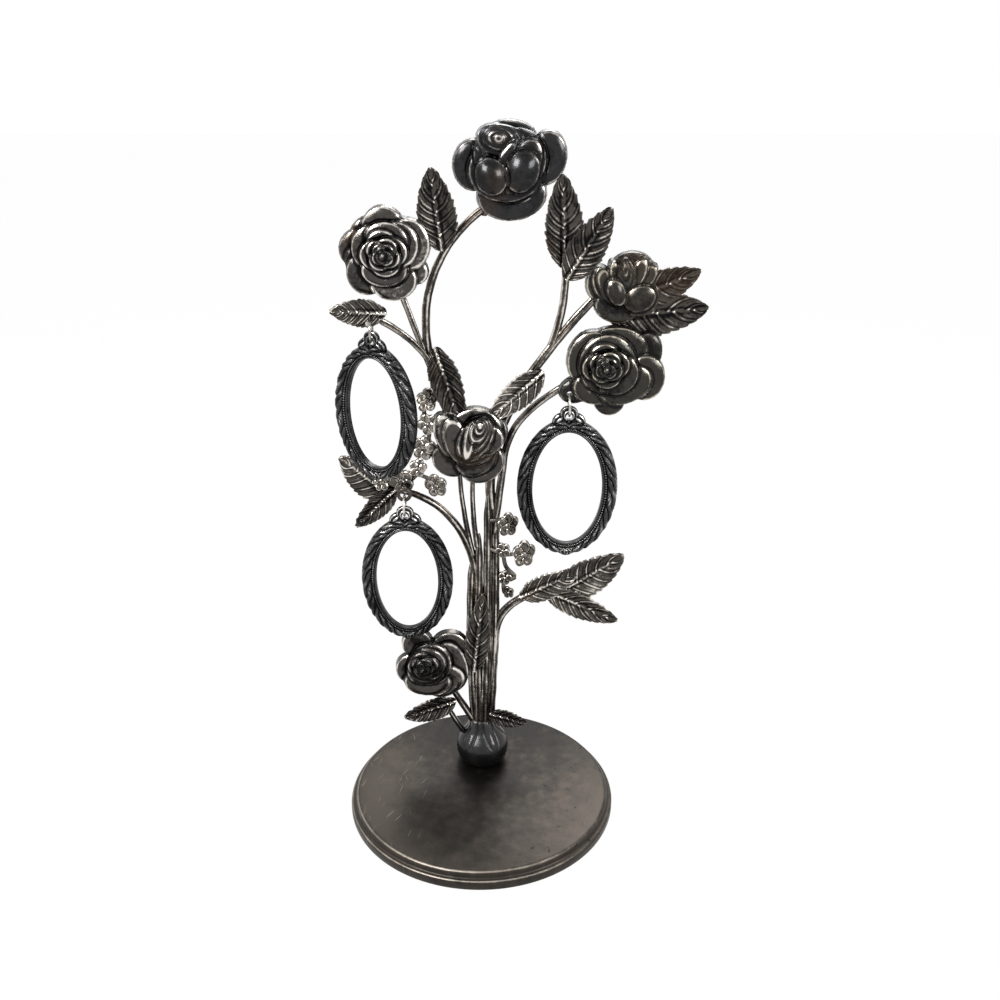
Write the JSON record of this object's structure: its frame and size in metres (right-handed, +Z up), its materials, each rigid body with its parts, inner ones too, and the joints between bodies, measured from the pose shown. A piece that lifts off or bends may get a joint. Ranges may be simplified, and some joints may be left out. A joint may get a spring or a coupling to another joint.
{
  "type": "photo tree stand",
  "caption": "Free-standing cast metal rose bush on a round base disc, with oval photo frames that hang from wire rings.",
  "frame": {"origin": "centre of the felt under the base disc, on the surface that the stand stands on", "axes": "+Z up; the viewer stands on the -Y side and the bush stands behind the disc's middle; +X to the viewer's right"},
  "size_m": [0.1409, 0.1106, 0.2744],
  "materials": {
    "stem_metal": "antiqued silver, dark in the recesses, worn bright on the ribs",
    "leaf_metal": "antiqued silver, worn bright on veins and edges",
    "rose_metal": "antiqued silver, dark and glossy with bright petal lips",
    "blossom_metal": "antiqued silver, worn bright",
    "frame_metal": "antiqued silver, dark, with worn twists and beads",
    "base_metal": "satin dark pewter, scratched and pitted, rim edges worn",
    "steel_wire": "bright bent wire",
    "steel_fixing": "zinc plated",
    "felt": "black felt"
  },
  "bodies": {
    "stand": {"base_disc": "base_metal", "base_screw": "steel_fixing", "base_washer": "steel_fixing", "blossoms_arch": "blossom_metal", "blossoms_low_left": "blossom_metal", "blossoms_right_lower": "blossom_metal", "blossoms_right_upper": "blossom_metal", "branch_arch_left": "stem_metal", "branch_base_left": "stem_metal", "branch_bough_right": "stem_metal", "branch_low_left": "stem_metal", "branch_low_right": "stem_metal", "branch_rose_center": "stem_metal", "branch_rose_right": "stem_metal", "felt_pad": "felt", "hook_arm": "stem_metal", "leaf_arch_inner": "leaf_metal", "leaf_arch_top": "leaf_metal", "leaf_base_left": "leaf_metal", "leaf_base_right": "leaf_metal", "leaf_bough_inner": "leaf_metal", "leaf_bough_side": "leaf_metal", "leaf_bough_up": "leaf_metal", "leaf_bud_lower": "leaf_metal", "leaf_bud_upper": "leaf_metal", "leaf_hook": "leaf_metal", "leaf_low_left_lower": "leaf_metal", "leaf_low_left_upper": "leaf_metal", "leaf_low_right_inner": "leaf_metal", "leaf_low_right_lower": "leaf_metal", "leaf_low_right_outer": "leaf_metal", "leaf_trunk": "leaf_metal", "rose_bud": "rose_metal", "rose_center": "rose_metal", "rose_left": "rose_metal", "rose_low": "rose_metal", "rose_right": "rose_metal", "rose_top": "rose_metal", "trunk": "stem_metal"},
    "ring_left": {"ring_left": "steel_wire"},
    "photo_frame_left": {"photo_frame_left": "frame_metal"},
    "ring_low": {"ring_low": "steel_wire"},
    "photo_frame_low": {"photo_frame_low": "frame_metal"},
    "ring_right": {"ring_right": "steel_wire"},
    "photo_frame_right": {"photo_frame_right": "frame_metal"}
  },
  "joints": [
    {"name": "left_ring_sway", "type": "hinge", "parent": "stand", "child": "ring_left", "pos_m": [-0.0392, 0.00942, 0.20535], "axis": [0, 1, 0], "range_deg": [-3, 18]},
    {"name": "left_frame_swing", "type": "hinge", "parent": "ring_left", "child": "photo_frame_left", "pos_m": [-0.0392, 0.00942, 0.20145], "axis": [1, 0, 0], "range_deg": [-60, 0.5]},
    {"name": "low_ring_sway", "type": "hinge", "parent": "stand", "child": "ring_low", "pos_m": [-0.0294, 0.00977, 0.13603], "axis": [0, 1, 0], "range_deg": [-12, 12]},
    {"name": "low_frame_swing", "type": "hinge", "parent": "ring_low", "child": "photo_frame_low", "pos_m": [-0.0294, 0.00977, 0.13213], "axis": [1, 0, 0], "range_deg": [-60, 3]},
    {"name": "right_ring_sway", "type": "hinge", "parent": "stand", "child": "ring_right", "pos_m": [0.03388, 0.0104, 0.17658], "axis": [0, 1, 0], "range_deg": [-7, 7]},
    {"name": "right_frame_swing", "type": "hinge", "parent": "ring_right", "child": "photo_frame_right", "pos_m": [0.03388, 0.0104, 0.17268], "axis": [1, 0, 0], "range_deg": [-60, 3]}
  ]
}
